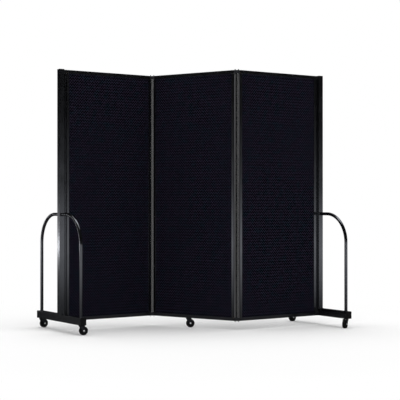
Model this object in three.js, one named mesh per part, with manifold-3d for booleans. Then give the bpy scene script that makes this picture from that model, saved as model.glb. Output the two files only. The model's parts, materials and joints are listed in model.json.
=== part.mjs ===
// Ward privacy screen on wheels: three covered panels joined by two double-pin folds, with a
// post, a hoop and a base bar on two casters hinged to each end, and one caster mid-way.
// Millimetres, +Z up. The origin lies on the floor under the middle panel's centre. +X runs along
// the screen to the right of someone in front of it, and +Y points to the rear.
import * as THREE from 'three';
import { mergeVertices } from 'three/addons/utils/BufferGeometryUtils.js';
import Module from 'manifold-3d';

const wasm = await Module();
wasm.setup();

// Screen
const screenHeight = 1524;
const pinSpan = 586;
const panelThickness = 18;
const foldDegrees = 34;
const linkPitch = 20;

// Fits: the gap left between pieces that touch, and the extra length of a cutting tool
const seatGap = 0.3;
const cutOverrun = 2;

// Panel frame, measured from the axis of the hinge pin at the panel's end
const railHeight = 20;
const stileSetback = 5;
const stileEdge = 20;
const channelWall = 1.5;
const channelLip = 8.4;
const coverThickness = 1.2;
const edgeChamfer = 0.8;

// Hinge pins, knuckles and the link between two pins
const pinRadius = 2.5;
const foldPinProud = 6;
const endPinProud = 1;
const pinTipChamfer = 0.8;
const knuckleWall = 1.9;
const neckWidth = 6;
const blockTurningGap = 0.6;
const knuckleEndGap = 0.6;
const spineThickness = 2.5;
const spineOffset = 2.5;
const spineSideGap = 0.3;

// End frame
const barInset = 11;
const barWidth = 37;
const barHeight = 43;
const barLength = 544;
const barWall = 2;
const postWidth = 32;
const postWall = 2;
const capThickness = 3;
const plugThickness = 2.7;
const tongueLength = 14;
const legInset = 27;
const lugNeckWidth = 13;

// Hoop
const hoopHeight = 680;
const hoopRadius = 9.5;
const hoopBoreRadius = 8;
const hoopBendRadius = 170;

// Caster
const wheelRadius = 25;
const wheelWidth = 18;
const wheelChamfer = 2.2;
const wheelRimRadius = 18.5;
const wheelDish = 2.5;
const hubRadius = 8;
const casterTrail = 14;
const wheelTopGap = 1.5;
const wheelSideGap = 1.2;
const crownThickness = 3;
const crownHeel = 13;
const crownToe = 20;
const forkLegThickness = 2.5;
const forkEyeRadius = 7.5;
const headRadius = 12.5;
const headHeight = 2.2;
const stemRadius = 4;
const stemLength = 20;
const axleRadius = 3;
const axleHeadRadius = 5;
const axleHeadHeight = 2.4;
const midCasterShift = 40;

// Which way each caster trails, in degrees from +X towards +Y
const trailDegrees = {
  left_rear: 40,
  left_front: 20,
  middle: 7,
  right_front: 239,
  right_rear: 215,
};

// Facets round a full turn
const wheelFacets = 24;
const tubeFacets = 16;
const boreFacets = 8;
const pinFacets = 12;
const bendSteps = 9;

// Worked out from the sizes above
const foldAngle = THREE.MathUtils.degToRad(foldDegrees);
const rideHeight = 2 * wheelRadius + wheelTopGap + crownThickness + headHeight + seatGap;
const panelHeight = screenHeight - rideHeight;
const halfThickness = panelThickness / 2;
const pinBore = pinRadius + seatGap;
const knuckleRadius = pinBore + knuckleWall;
const blockRadius = halfThickness;
const blockHeight = railHeight - knuckleEndGap;
const railSetback = blockRadius + blockTurningGap;
const channelFloor = stileEdge - channelLip;
const channelHalfWidth = halfThickness - channelWall;
const infillSetback = channelFloor + seatGap;
const infillHeight = panelHeight - 2 * (railHeight - channelLip + seatGap);
const coverOffset = channelHalfWidth - seatGap - coverThickness / 2;
const coreThickness = 2 * (coverOffset - coverThickness / 2 - seatGap);
const knuckleHeight = panelHeight - 2 * (railHeight + seatGap);
const barTop = rideHeight + barHeight;
const framePlane = barInset + barWidth / 2;
const legOffset = barLength / 2 - legInset;
const postBottom = barTop + seatGap;
const lugWallDepth = framePlane - postWidth / 2;

// The hoop's steps: one for each leg and for the top run, and the steps of its two bends
const hoopSteps = 3 + 2 * bendSteps;

const painted = (color, roughness) =>
  new THREE.MeshStandardMaterial({ color, roughness, metalness: 0.4 });
const finishes = {
  frame: painted('#141416', 0.35),
  hinge: painted('#1b1b1d', 0.3),
  cover: new THREE.MeshStandardMaterial({ color: '#14131c', roughness: 0.95, metalness: 0 }),
  core: new THREE.MeshStandardMaterial({ color: '#6b5a45', roughness: 0.9, metalness: 0 }),
  plastic: new THREE.MeshStandardMaterial({ color: '#0c0c0d', roughness: 0.5, metalness: 0 }),
  plated: new THREE.MeshStandardMaterial({ color: '#c9ccd0', roughness: 0.25, metalness: 1 }),
};

// Shapes and solids

function polygon(points) {
  return new THREE.Shape(points.map(([x, y]) => new THREE.Vector2(x, y)));
}

function chamferedRectangle(width, depth, chamfer) {
  const [x, y] = [width / 2, depth / 2];
  const quarter = [[x, y - chamfer], [x - chamfer, y]];
  const mirrored = quarter.map(([px, py]) => [-px, py]).reverse();
  const lower = [...quarter, ...mirrored].map(([px, py]) => [-px, -py]);
  return polygon([...quarter, ...mirrored, ...lower]);
}

function hole(radius, x = 0, y = 0) {
  const path = new THREE.Path();
  path.absarc(x, y, radius, 0, 2 * Math.PI, true);
  return path;
}

function prism(outline, height, facets, bevel = 0) {
  const geometry = new THREE.ExtrudeGeometry(outline, {
    depth: height - 2 * bevel,
    steps: 1,
    curveSegments: facets / 2,
    bevelEnabled: bevel > 0,
    bevelThickness: bevel,
    bevelSize: bevel,
    bevelOffset: -bevel,
    bevelSegments: 1,
  });
  return geometry.translate(0, 0, bevel);
}

// A lathe profile is a list of [radius, height] pairs, turned round the Z axis
function turned(profile, facets) {
  const points = profile.map(([radius, height]) => new THREE.Vector2(radius, height));
  const geometry = new THREE.LatheGeometry(points, facets, Math.PI / facets);
  return geometry.rotateX(Math.PI / 2);
}

function box(width, depth, height) {
  return new THREE.BoxGeometry(width, depth, height).translate(0, 0, height / 2);
}

function rod(radius, length, facets) {
  const geometry = new THREE.CylinderGeometry(radius, radius, length, facets);
  return geometry.rotateX(Math.PI / 2).translate(0, 0, length / 2);
}

function toSolid(geometry) {
  const bare = geometry.clone();
  bare.deleteAttribute('normal');
  bare.deleteAttribute('uv');
  const merged = mergeVertices(bare);
  const vertProperties = new Float32Array(merged.getAttribute('position').array);
  const triVerts = new Uint32Array(merged.getIndex().array);
  return new wasm.Manifold(new wasm.Mesh({ numProp: 3, vertProperties, triVerts }));
}

function toGeometry(solid) {
  const { vertProperties, triVerts } = solid.getMesh();
  const geometry = new THREE.BufferGeometry();
  geometry.setAttribute('position', new THREE.BufferAttribute(vertProperties, 3));
  geometry.setIndex(new THREE.BufferAttribute(triVerts, 1));
  geometry.computeVertexNormals();
  return geometry;
}

function joined(...geometries) {
  return toGeometry(geometries.map(toSolid).reduce((whole, solid) => whole.add(solid)));
}

function cut(geometry, ...tools) {
  const start = toSolid(geometry);
  return toGeometry(tools.map(toSolid).reduce((rest, tool) => rest.subtract(tool), start));
}

function piece(name, geometry, material, x = 0, y = 0, z = 0, turn = 0) {
  const mesh = new THREE.Mesh(geometry, material);
  mesh.name = name;
  mesh.position.set(x, y, z);
  mesh.rotation.z = turn;
  return mesh;
}

function group(x, y, turn, ...children) {
  const holder = new THREE.Group();
  holder.position.set(x, y, 0);
  holder.rotation.z = turn;
  holder.add(...children);
  return holder;
}

// Panel: a channel frame round a board with a fabric cover on each face

function railGeometry() {
  const length = pinSpan - 2 * railSetback;
  const section = chamferedRectangle(length, panelThickness, edgeChamfer);
  const bar = prism(section, railHeight, tubeFacets, edgeChamfer);
  const slot = box(pinSpan - 2 * channelFloor, 2 * channelHalfWidth, channelLip + cutOverrun);
  return cut(bar, slot.translate(0, 0, -cutOverrun));
}

function bottomRailGeometry(stemX) {
  const rail = railGeometry().rotateX(Math.PI).translate(0, 0, railHeight);
  if (stemX === undefined) return rail;
  const drill = rod(stemRadius + seatGap, railHeight + 2 * cutOverrun, pinFacets);
  return cut(rail, drill.translate(stemX, 0, -cutOverrun));
}

function stileGeometry() {
  const neck = neckWidth / 2;
  const neckAngle = Math.asin(neck / knuckleRadius);
  const side = [
    [stileSetback, neck],
    [stileSetback, halfThickness - edgeChamfer],
    [stileSetback + edgeChamfer, halfThickness],
    [stileEdge, halfThickness],
    [stileEdge, channelHalfWidth],
    [channelFloor, channelHalfWidth],
  ];
  const outline = new THREE.Shape();
  outline.absarc(0, 0, knuckleRadius, neckAngle, 2 * Math.PI - neckAngle, false);
  const otherSide = side.map(([x, y]) => [x, -y]);
  for (const [x, y] of [...otherSide, ...side.reverse()]) outline.lineTo(x, y);
  outline.holes.push(hole(pinBore));
  return prism(outline, knuckleHeight, pinFacets);
}

function coreGeometry(stemX) {
  const board = box(pinSpan - 2 * infillSetback, coreThickness, infillHeight);
  if (stemX === undefined) return board;
  const pocketDepth = stemLength - (railHeight - channelLip) + seatGap;
  const pocket = rod(stemRadius + seatGap, pocketDepth + cutOverrun, pinFacets);
  return cut(board, pocket.translate(stemX, 0, -cutOverrun));
}

function panel(name, frontSign, stemX) {
  const { frame, cover, core } = finishes;
  const half = pinSpan / 2;
  const railTop = screenHeight - railHeight;
  const infillBottom = rideHeight + railHeight - channelLip + seatGap;
  const stileBottom = rideHeight + railHeight + seatGap;
  const coverBox = () => box(pinSpan - 2 * infillSetback, coverThickness, infillHeight);
  const ends = frontSign > 0 ? [half, -half] : [-half, half];
  const turnAt = (x) => (x > 0 ? Math.PI : 0);
  return [
    piece(`${name}_core`, coreGeometry(stemX), core, 0, 0, infillBottom),
    piece(`${name}_front_cover`, coverBox(), cover, 0, frontSign * coverOffset, infillBottom),
    piece(`${name}_rear_cover`, coverBox(), cover, 0, -frontSign * coverOffset, infillBottom),
    piece(`${name}_top_rail`, railGeometry(), frame, 0, 0, railTop),
    piece(`${name}_bottom_rail`, bottomRailGeometry(stemX), frame, 0, 0, rideHeight),
    piece(`${name}_left_stile`, stileGeometry(), frame, ends[0], 0, stileBottom, turnAt(ends[0])),
    piece(`${name}_right_stile`, stileGeometry(), frame, ends[1], 0, stileBottom, turnAt(ends[1])),
  ];
}

// Fold: two pins held by a block at the top and one at the bottom, with a spine between the knuckles

function pinGeometry(proud) {
  const length = panelHeight + 2 * proud;
  const tip = pinRadius - pinTipChamfer;
  const profile = [
    [0, 0],
    [tip, 0],
    [pinRadius, pinTipChamfer],
    [pinRadius, length - pinTipChamfer],
    [tip, length],
    [0, length],
  ];
  return turned(profile, pinFacets);
}

function blockGeometry() {
  const half = linkPitch / 2;
  const outline = new THREE.Shape();
  outline.absarc(half, 0, blockRadius, -Math.PI / 2, Math.PI / 2, false);
  outline.absarc(-half, 0, blockRadius, Math.PI / 2, 3 * Math.PI / 2, false);
  outline.holes.push(hole(pinBore, half), hole(pinBore, -half));
  return prism(outline, blockHeight, pinFacets, edgeChamfer);
}

function spineGeometry() {
  const width = linkPitch - 2 * (knuckleRadius + spineSideGap);
  const height = panelHeight - 2 * (blockHeight + seatGap);
  return prism(chamferedRectangle(width, spineThickness, edgeChamfer / 2), height, tubeFacets);
}

function fold(name) {
  const { hinge } = finishes;
  const half = linkPitch / 2;
  const spineBottom = rideHeight + blockHeight + seatGap;
  const pinBottom = rideHeight - foldPinProud;
  return [
    piece(`${name}_top_block`, blockGeometry(), hinge, 0, 0, screenHeight - blockHeight),
    piece(`${name}_bottom_block`, blockGeometry(), hinge, 0, 0, rideHeight),
    piece(`${name}_spine`, spineGeometry(), hinge, 0, -spineOffset, spineBottom),
    piece(`${name}_outer_pin`, pinGeometry(foldPinProud), hinge, -half, 0, pinBottom),
    piece(`${name}_inner_pin`, pinGeometry(foldPinProud), hinge, half, 0, pinBottom),
  ];
}

// End frame: its own origin is on the end pin's axis, -X points away from the panel

function lugGeometry(reach) {
  const round = new THREE.Shape().absarc(0, 0, blockRadius, 0, 2 * Math.PI, false);
  const eye = prism(round, blockHeight, pinFacets);
  const neck = box(reach, lugNeckWidth, blockHeight).translate(-reach / 2, 0, 0);
  return joined(eye, neck);
}

function pinDrill() {
  const height = blockHeight + 2 * cutOverrun;
  return rod(pinBore, height, pinFacets).translate(0, 0, -cutOverrun);
}

function postGeometry() {
  const height = screenHeight - postBottom;
  const tube = prism(chamferedRectangle(postWidth, postWidth, edgeChamfer), height, tubeFacets);
  const bore = box(postWidth - 2 * postWall, postWidth - 2 * postWall, height + 2 * cutOverrun);
  const crossLength = postWidth + 2 * cutOverrun;
  const crossHole = rod(hoopRadius + seatGap, crossLength, tubeFacets);
  crossHole.translate(0, 0, -crossLength / 2).rotateX(Math.PI / 2);
  crossHole.translate(0, 0, hoopHeight - postBottom);
  const lugBottom = height - blockHeight;
  const lug = lugGeometry(lugWallDepth + postWall / 2).translate(framePlane, 0, lugBottom);
  const drill = pinDrill().translate(framePlane, 0, lugBottom);
  const stripStart = (postWidth - postWall) / 2;
  const stripEnd = framePlane - knuckleRadius - spineSideGap;
  const strip = box(stripEnd - stripStart, spineThickness, height - blockHeight / 2);
  strip.translate((stripStart + stripEnd) / 2, 0, 0);
  return cut(joined(tube, strip, lug), bore.translate(0, 0, -cutOverrun), crossHole, drill);
}

// A plate that closes a tube's end, with a tongue that fits the bore
function capGeometry(width, depth, wall, thickness) {
  const inset = 2 * (wall + seatGap);
  const outline = chamferedRectangle(width, depth, edgeChamfer);
  const plate = prism(outline, thickness, tubeFacets, edgeChamfer);
  const tongue = box(width - inset, depth - inset, tongueLength + thickness / 2);
  return joined(plate, tongue.translate(0, 0, -tongueLength));
}

function barGeometry() {
  const section = chamferedRectangle(barWidth, barHeight, edgeChamfer);
  const tube = prism(section, barLength, tubeFacets).rotateX(Math.PI / 2);
  tube.translate(0, barLength / 2, barHeight / 2);
  const bore = box(barWidth - 2 * barWall, barLength + 2 * cutOverrun, barHeight - 2 * barWall);
  bore.translate(0, 0, barWall);
  const lug = lugGeometry(barInset + barWall / 2).translate(framePlane, 0, 0);
  const drill = pinDrill().translate(framePlane, 0, 0);
  const drillHeight = barWall + 2 * cutOverrun;
  const stemHoles = [legOffset, -legOffset].map((y) =>
    rod(stemRadius + seatGap, drillHeight, pinFacets).translate(0, y, -cutOverrun));
  return cut(joined(tube, lug), bore, drill, ...stemHoles);
}

function plugGeometry() {
  return capGeometry(barWidth, barHeight, barWall, plugThickness).rotateX(Math.PI / 2);
}

// The hoop's centre line stands in the Y-Z plane. Its parameter runs by steps, so that the steps
// fall on the ends of the legs and bends.
class HoopLine extends THREE.Curve {
  getUtoTmapping(u) {
    return u;
  }

  getPoint(t) {
    const step = t * hoopSteps;
    const corner = legOffset - hoopBendRadius;
    const springing = hoopHeight - hoopBendRadius;
    const side = step < hoopSteps / 2 ? 1 : -1;
    const along = Math.min(step, hoopSteps - step);
    if (along < 1) {
      const height = THREE.MathUtils.lerp(postBottom, springing, along);
      return new THREE.Vector3(0, side * legOffset, height);
    }
    if (along <= bendSteps + 1) {
      const angle = ((along - 1) / bendSteps) * (Math.PI / 2);
      const y = corner + hoopBendRadius * Math.cos(angle);
      return new THREE.Vector3(0, side * y, springing + hoopBendRadius * Math.sin(angle));
    }
    const inward = (along - bendSteps - 1) * 2;
    return new THREE.Vector3(0, side * corner * (1 - inward), hoopHeight);
  }
}

function regularPolygon(radius, sides) {
  const turns = Array.from({ length: sides }, (_, side) => (side / sides) * 2 * Math.PI);
  return polygon(turns.map((angle) => [radius * Math.cos(angle), radius * Math.sin(angle)]));
}

function hoopGeometry() {
  const outline = regularPolygon(hoopRadius, tubeFacets);
  outline.holes.push(regularPolygon(hoopBoreRadius, boreFacets));
  return new THREE.ExtrudeGeometry(outline, { steps: hoopSteps, extrudePath: new HoopLine() });
}

function endFrame(name, turn, [minusEnd, plusEnd]) {
  const { frame, plastic } = finishes;
  const cap = capGeometry(postWidth, postWidth, postWall, capThickness);
  const pin = pinGeometry(endPinProud);
  const pinBottom = rideHeight - endPinProud;
  const plugZ = rideHeight + barHeight / 2;
  const plugY = barLength / 2 + seatGap;
  const worldTurn = turn + foldAngle;
  return [
    piece(`${name}_end_pin`, pin, finishes.hinge, framePlane, 0, pinBottom),
    piece(`${name}_post`, postGeometry(), frame, 0, 0, postBottom),
    piece(`${name}_post_cap`, cap, plastic, 0, 0, screenHeight + seatGap),
    piece(`${name}_hoop`, hoopGeometry(), frame),
    piece(`${name}_base_bar`, barGeometry(), frame, 0, 0, rideHeight),
    piece(`${name}_bar_${minusEnd}_plug`, plugGeometry(), plastic, 0, -plugY, plugZ),
    piece(`${name}_bar_${plusEnd}_plug`, plugGeometry(), plastic, 0, plugY, plugZ, Math.PI),
    caster(`${name}_${minusEnd}`, 0, -legOffset, worldTurn),
    caster(`${name}_${plusEnd}`, 0, legOffset, worldTurn),
  ];
}

// Caster: its origin is on the floor under the stem, and the wheel trails towards +X

function forkGeometry() {
  const crownBottom = 2 * wheelRadius + wheelTopGap;
  const crownTop = crownBottom + crownThickness;
  const outerWidth = wheelWidth + 2 * (wheelSideGap + forkLegThickness);
  const crown = box(crownHeel + crownToe, outerWidth, crownThickness);
  crown.translate((crownToe - crownHeel) / 2, 0, crownBottom);
  const leg = new THREE.Shape();
  leg.moveTo(-crownHeel, crownTop);
  leg.lineTo(casterTrail - forkEyeRadius, wheelRadius);
  leg.absarc(casterTrail, wheelRadius, forkEyeRadius, Math.PI, 2 * Math.PI, false);
  leg.lineTo(crownToe, crownTop);
  leg.holes.push(hole(axleRadius + seatGap, casterTrail, wheelRadius));
  const plate = prism(leg, forkLegThickness, pinFacets).rotateX(Math.PI / 2);
  const legSides = [outerWidth / 2, forkLegThickness - outerWidth / 2];
  const legs = legSides.map((y) => plate.clone().translate(0, y, 0));
  const head = rod(headRadius, headHeight, tubeFacets).translate(0, 0, crownTop);
  const stem = rod(stemRadius, stemLength + seatGap + headHeight, pinFacets).translate(0, 0, crownTop);
  return joined(crown, ...legs, head, stem);
}

function wheelGeometry() {
  const flatToCorner = 1 / Math.cos(Math.PI / wheelFacets);
  const tread = wheelRadius * flatToCorner;
  const half = wheelWidth / 2;
  const bore = axleRadius + seatGap;
  const side = [
    [bore, half],
    [hubRadius, half],
    [hubRadius, half - wheelDish],
    [wheelRimRadius, half - wheelDish],
    [wheelRimRadius + wheelDish, half],
    [tread - wheelChamfer, half],
    [tread, half - wheelChamfer],
  ];
  const otherSide = side.map(([radius, height]) => [radius, -height]);
  return turned([...otherSide, ...side.reverse(), otherSide[0]], wheelFacets);
}

function axleGeometry() {
  const reach = wheelWidth / 2 + wheelSideGap + forkLegThickness + seatGap;
  const crownRadius = axleHeadRadius - axleHeadHeight / 2;
  const tip = reach + axleHeadHeight;
  const profile = [
    [0, -tip],
    [crownRadius, -tip],
    [axleHeadRadius, -reach - axleHeadHeight / 2],
    [axleHeadRadius, -reach],
    [axleRadius, -reach],
    [axleRadius, reach],
    [axleHeadRadius, reach],
    [axleHeadRadius, reach + axleHeadHeight / 2],
    [crownRadius, tip],
    [0, tip],
  ];
  return turned(profile, pinFacets);
}

function caster(name, x, y, parentTurn) {
  const { plastic, plated, hinge } = finishes;
  const wheel = piece(`${name}_caster_wheel`, wheelGeometry(), plastic, casterTrail, 0, wheelRadius);
  const axle = piece(`${name}_caster_axle`, axleGeometry(), plated, casterTrail, 0, wheelRadius);
  wheel.rotation.x = Math.PI / 2;
  axle.rotation.x = Math.PI / 2;
  const fork = piece(`${name}_caster_fork`, forkGeometry(), hinge);
  const turn = THREE.MathUtils.degToRad(trailDegrees[name]) - parentTurn;
  return group(x, y, turn, fork, wheel, axle);
}

function pointAlong(distance, turn) {
  return new THREE.Vector2(distance * Math.cos(turn), distance * Math.sin(turn));
}

// Each outer side is built for the left and turned half way round for the right
function outerSide(name, halfTurn, ends, frontSign) {
  const innerPin = pointAlong(-pinSpan / 2, -foldAngle);
  const wingCentre = pointAlong(-pinSpan / 2, foldAngle).add(innerPin);
  wingCentre.x -= linkPitch;
  const endCentre = pointAlong(-pinSpan / 2 - framePlane, foldAngle).add(wingCentre);
  const link = group(innerPin.x - linkPitch / 2, innerPin.y, 0, ...fold(`${name}_fold`));
  const wing = group(wingCentre.x, wingCentre.y, foldAngle, ...panel(`${name}_panel`, frontSign));
  const end = group(endCentre.x, endCentre.y, foldAngle, ...endFrame(name, halfTurn, ends));
  return group(0, 0, halfTurn, link, wing, end);
}

const stemX = -midCasterShift;
const screen = new THREE.Group();
screen.add(
  group(0, 0, -foldAngle, ...panel('middle_panel', -1, stemX), caster('middle', stemX, 0, -foldAngle)),
  outerSide('left', 0, ['front', 'rear'], -1),
  outerSide('right', Math.PI, ['rear', 'front'], 1),
);

export default screen;
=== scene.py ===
# %% [markdown]
# # A ward privacy screen on wheels
# Three cloth-covered panels stand in a zigzag, joined by two folds with two long pins each. A post,
# a hoop and a base bar on casters are hinged to each end. The frame loaded here holds the real
# sizes and joints, so each visible piece is built round the plain solid that it stands for.

# %% Load the frame
import json
import math

import bmesh
import bpy
from mathutils import Matrix, Vector


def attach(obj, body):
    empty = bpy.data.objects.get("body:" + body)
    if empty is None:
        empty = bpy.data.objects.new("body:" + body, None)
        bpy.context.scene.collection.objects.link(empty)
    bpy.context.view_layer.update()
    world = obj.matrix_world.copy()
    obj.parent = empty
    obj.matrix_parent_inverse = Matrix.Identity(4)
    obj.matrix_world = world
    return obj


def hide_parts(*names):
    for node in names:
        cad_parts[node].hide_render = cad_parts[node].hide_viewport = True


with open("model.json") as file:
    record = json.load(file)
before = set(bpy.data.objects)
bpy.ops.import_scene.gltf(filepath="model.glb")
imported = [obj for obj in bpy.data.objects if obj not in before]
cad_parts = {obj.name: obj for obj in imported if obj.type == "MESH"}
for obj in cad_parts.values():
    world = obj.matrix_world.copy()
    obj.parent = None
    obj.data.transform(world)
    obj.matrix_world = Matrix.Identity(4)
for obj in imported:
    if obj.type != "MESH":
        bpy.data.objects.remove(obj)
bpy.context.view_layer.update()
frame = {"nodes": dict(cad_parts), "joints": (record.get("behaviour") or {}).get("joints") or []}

scene = bpy.context.scene
joint_of = {joint["name"]: joint for joint in frame["joints"]}
MM = 0.001

# %% [markdown]
# ## Camera
# The picture was taken with a long lens from almost seven metres away and at half the height of the
# screen, so upright edges stay parallel. A camera could be moved by eye until the picture looks
# right, but then an error in its distance hides in the object's size. This one was fitted to points
# measured in the picture, and the lens follows from the focal length in pixels and the sensor.

# %% Camera
camera_place = Vector((-0.007, -6.886, 0.757))
camera_yaw = math.radians(-0.38)
camera_pitch = math.radians(0.06)
focal_pixels, picture_pixels, sensor_width = 1150, 400, 36.0

camera = bpy.data.objects.new("camera", bpy.data.cameras.new("camera"))
scene.collection.objects.link(camera)
camera.location = camera_place
camera.rotation_euler = (math.pi / 2 + camera_pitch, 0, camera_yaw)
camera.data.sensor_width = sensor_width
camera.data.lens = sensor_width * focal_pixels / picture_pixels
scene.camera = camera
scene.view_settings.view_transform = "Standard"
print(f"lens {camera.data.lens:.1f} mm, {-camera_place.y:.2f} m in front of the origin")

# %% [markdown]
# ## A small kit for materials
# A real finish is one colour and shine with small differences all over. It could come from a
# picture, but a picture has a fixed size and repeats. Here every finish is a Principled shader. What
# is the same all over is set on the shader's own sockets, and what varies comes from noise or from
# a formula. Object coordinates are in metres, so a pattern keeps its real size on every piece.

# %% Material helpers
def finish_material(name, colour, roughness, metallic=0.0, specular=0.5):
    material = bpy.data.materials.new(name)
    material.use_nodes = True
    shader = material.node_tree.nodes["Principled BSDF"]
    shader.inputs["Base Color"].default_value = (*colour, 1)
    shader.inputs["Roughness"].default_value = roughness
    shader.inputs["Metallic"].default_value = metallic
    shader.inputs["Specular IOR Level"].default_value = specular
    return material, material.node_tree, shader


def feed(tree, value, socket):
    """Link another node's output to a socket, or set the socket to a plain value."""
    if isinstance(value, bpy.types.NodeSocket):
        tree.links.new(value, socket)
    else:
        socket.default_value = value


def formula(tree, operation, *values):
    node = tree.nodes.new("ShaderNodeMath")
    node.operation = operation
    for value, socket in zip(values, node.inputs):
        feed(tree, value, socket)
    return node.outputs[0]


print("shader, feed and formula helpers ready")

# %% Patterns and relief
noise_low, noise_high = 0.3, 0.7


def object_point(tree):
    return tree.nodes.new("ShaderNodeTexCoord").outputs["Object"]


def axes_of(tree, point):
    """The outputs X, Y and Z of a point."""
    node = tree.nodes.new("ShaderNodeSeparateXYZ")
    tree.links.new(point, node.inputs[0])
    return node.outputs


def noise(tree, point, per_metre, detail=2.0):
    node = tree.nodes.new("ShaderNodeTexNoise")
    node.inputs["Scale"].default_value = per_metre
    node.inputs["Detail"].default_value = detail
    tree.links.new(point, node.inputs["Vector"])
    return node.outputs["Fac"]


def spread(tree, value, low, high, start=0.0, end=1.0, smooth=False):
    """Map a value that runs from start to end onto low to high."""
    node = tree.nodes.new("ShaderNodeMapRange")
    node.interpolation_type = "SMOOTHSTEP" if smooth else "LINEAR"
    sizes = {"From Min": start, "From Max": end, "To Min": low, "To Max": high}
    for socket, size in sizes.items():
        node.inputs[socket].default_value = size
    tree.links.new(value, node.inputs["Value"])
    return node.outputs["Result"]


def varied(tree, point, per_metre, low, high, detail=2.0):
    """Noise that wanders between low and high, from the range that plain noise seldom leaves."""
    return spread(tree, noise(tree, point, per_metre, detail), low, high, noise_low, noise_high)


def bump(tree, shader, height, depth):
    """Turn a height from 0 to 1 into a surface relief of this depth in metres."""
    node = tree.nodes.new("ShaderNodeBump")
    node.inputs["Distance"].default_value = depth
    tree.links.new(height, node.inputs["Height"])
    tree.links.new(node.outputs["Normal"], shader.inputs["Normal"])


print(f"noise is read from {noise_low} to {noise_high}")

# %% [markdown]
# ## Floor
# The screen stands on a pale studio floor that runs into a white background without an edge. A
# curved backdrop could do that, but then its shading shows in the picture. Here the floor is flat
# and keeps the soft shadow, and further out it fades to pure white for the camera only. Shiny paint
# would mirror that white everywhere, so a reflected floor is dim near the screen and reaches full
# white far out, as it does in a studio where only the backdrop is lit. Only reflections see this.

# %% Floor
floor_half, floor_colour, floor_roughness = 30.0, 0.95, 0.9

mesh = bpy.data.meshes.new("floor")
corners = [(x * floor_half, y * floor_half, 0) for x, y in ((-1, -1), (1, -1), (1, 1), (-1, 1))]
mesh.from_pydata(corners, [], [(0, 1, 2, 3)])
floor = bpy.data.objects.new("floor", mesh)
scene.collection.objects.link(floor)
print(f"floor {2 * floor_half:.0f} m wide")

# %% Floor material
shade_radius, white_radius = 0.8, 2.2
dim_radius, bright_radius, far_radius, dim_glow, bright_glow = 1.2, 9.0, 13.0, 0.1, 1.0
behind_reach, behind_share = 0.5, 0.2


def seen_in_gloss(tree, rays):
    """1 on rays that a shiny or a clear surface sends out, and 0 on others."""
    seen = rays.outputs
    return formula(tree, "MAXIMUM", seen["Is Glossy Ray"], seen["Is Transmission Ray"])


greys = (floor_colour,) * 3
material, tree, shader = finish_material("pale floor", greys, floor_roughness, specular=0.0)
rays = tree.nodes.new("ShaderNodeLightPath")
gloss = seen_in_gloss(tree, rays)
point = object_point(tree)
length = tree.nodes.new("ShaderNodeVectorMath")
length.operation = "LENGTH"
tree.links.new(point, length.inputs[0])
distance = length.outputs["Value"]
fade = spread(tree, distance, 0.0, 1.0, shade_radius, white_radius, smooth=True)
behind = spread(tree, axes_of(tree, point)["Y"], 0.0, 1.0, -behind_reach, behind_reach)
near = spread(tree, distance, 1.0, 0.0, bright_radius, far_radius)
dimmed = spread(tree, formula(tree, "MULTIPLY", behind, near), 1.0, behind_share)
ramp = spread(tree, distance, dim_glow, bright_glow, dim_radius, bright_radius)
reflected = formula(tree, "MULTIPLY", ramp, dimmed)
glow = tree.nodes.new("ShaderNodeEmission")
level = formula(tree, "MULTIPLY_ADD", gloss, reflected, rays.outputs["Is Camera Ray"])
tree.links.new(level, glow.inputs["Strength"])
mix = tree.nodes.new("ShaderNodeMixShader")
faded = formula(tree, "MULTIPLY", rays.outputs["Is Camera Ray"], fade)
tree.links.new(formula(tree, "MAXIMUM", faded, gloss), mix.inputs["Fac"])
tree.links.new(shader.outputs[0], mix.inputs[1])
tree.links.new(glow.outputs[0], mix.inputs[2])
tree.links.new(mix.outputs[0], tree.nodes["Material Output"].inputs["Surface"])
floor.data.materials.append(material)
print(f"floor fades to white from {shade_radius} to {white_radius} m")

# %% [markdown]
# ## Fill light and background
# A studio has light from all round that softens the shadows. A few big lamps could give it, but an
# even world is simpler and leaves no extra highlights. The camera sees it as plain white, and shiny
# paint sees white only at the horizon and dark above, which gives the long soft gradients that the
# upright edges show.

# %% World
fill_strength, upper_glow, glow_bottom, glow_top = 0.68, 0.01, -0.05, 0.025

world = bpy.data.worlds.new("studio")
world.use_nodes = True
scene.world = world
tree = world.node_tree
background = tree.nodes["Background"]
rays = tree.nodes.new("ShaderNodeLightPath")
height = axes_of(tree, tree.nodes.new("ShaderNodeTexCoord").outputs["Generated"])["Z"]
reflected = spread(tree, height, bright_glow, upper_glow, glow_bottom, glow_top, smooth=True)
level = tree.nodes.new("ShaderNodeMix")
feed(tree, seen_in_gloss(tree, rays), level.inputs["Factor"])
feed(tree, fill_strength, level.inputs["A"])
feed(tree, reflected, level.inputs["B"])
strength = formula(tree, "MAXIMUM", level.outputs["Result"], rays.outputs["Is Camera Ray"])
tree.links.new(strength, background.inputs["Strength"])
background.inputs["Color"].default_value = (1, 1, 1, 1)
print("world fill", fill_strength)

# %% [markdown]
# ## Lamps
# A broad soft box overhead makes the shadow under the screen. A sun would cut a hard one, and a
# point lamp would leave a hot spot. The bright dash halfway up the left post is a reflection of a
# low lamp behind and to the left, so a weak strip stands where that face mirrors it.

# %% Lamps
box_height, box_width, box_depth, box_power = 4.2, 4.5, 3.0, 105.0
strip_place, strip_target = Vector((-5.17, 2.21, 0.30)), Vector((-0.78, -0.18, 0.49))
strip_width, strip_height, strip_power = 1.6, 0.12, 3.4


def area_lamp(name, location, width, height, power):
    lamp = bpy.data.lights.new(name, "AREA")
    lamp.shape = "RECTANGLE"
    lamp.size, lamp.size_y, lamp.energy = width, height, power
    lit = bpy.data.objects.new(name, lamp)
    lit.location = location
    lit.visible_camera = False
    scene.collection.objects.link(lit)
    return lit


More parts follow.
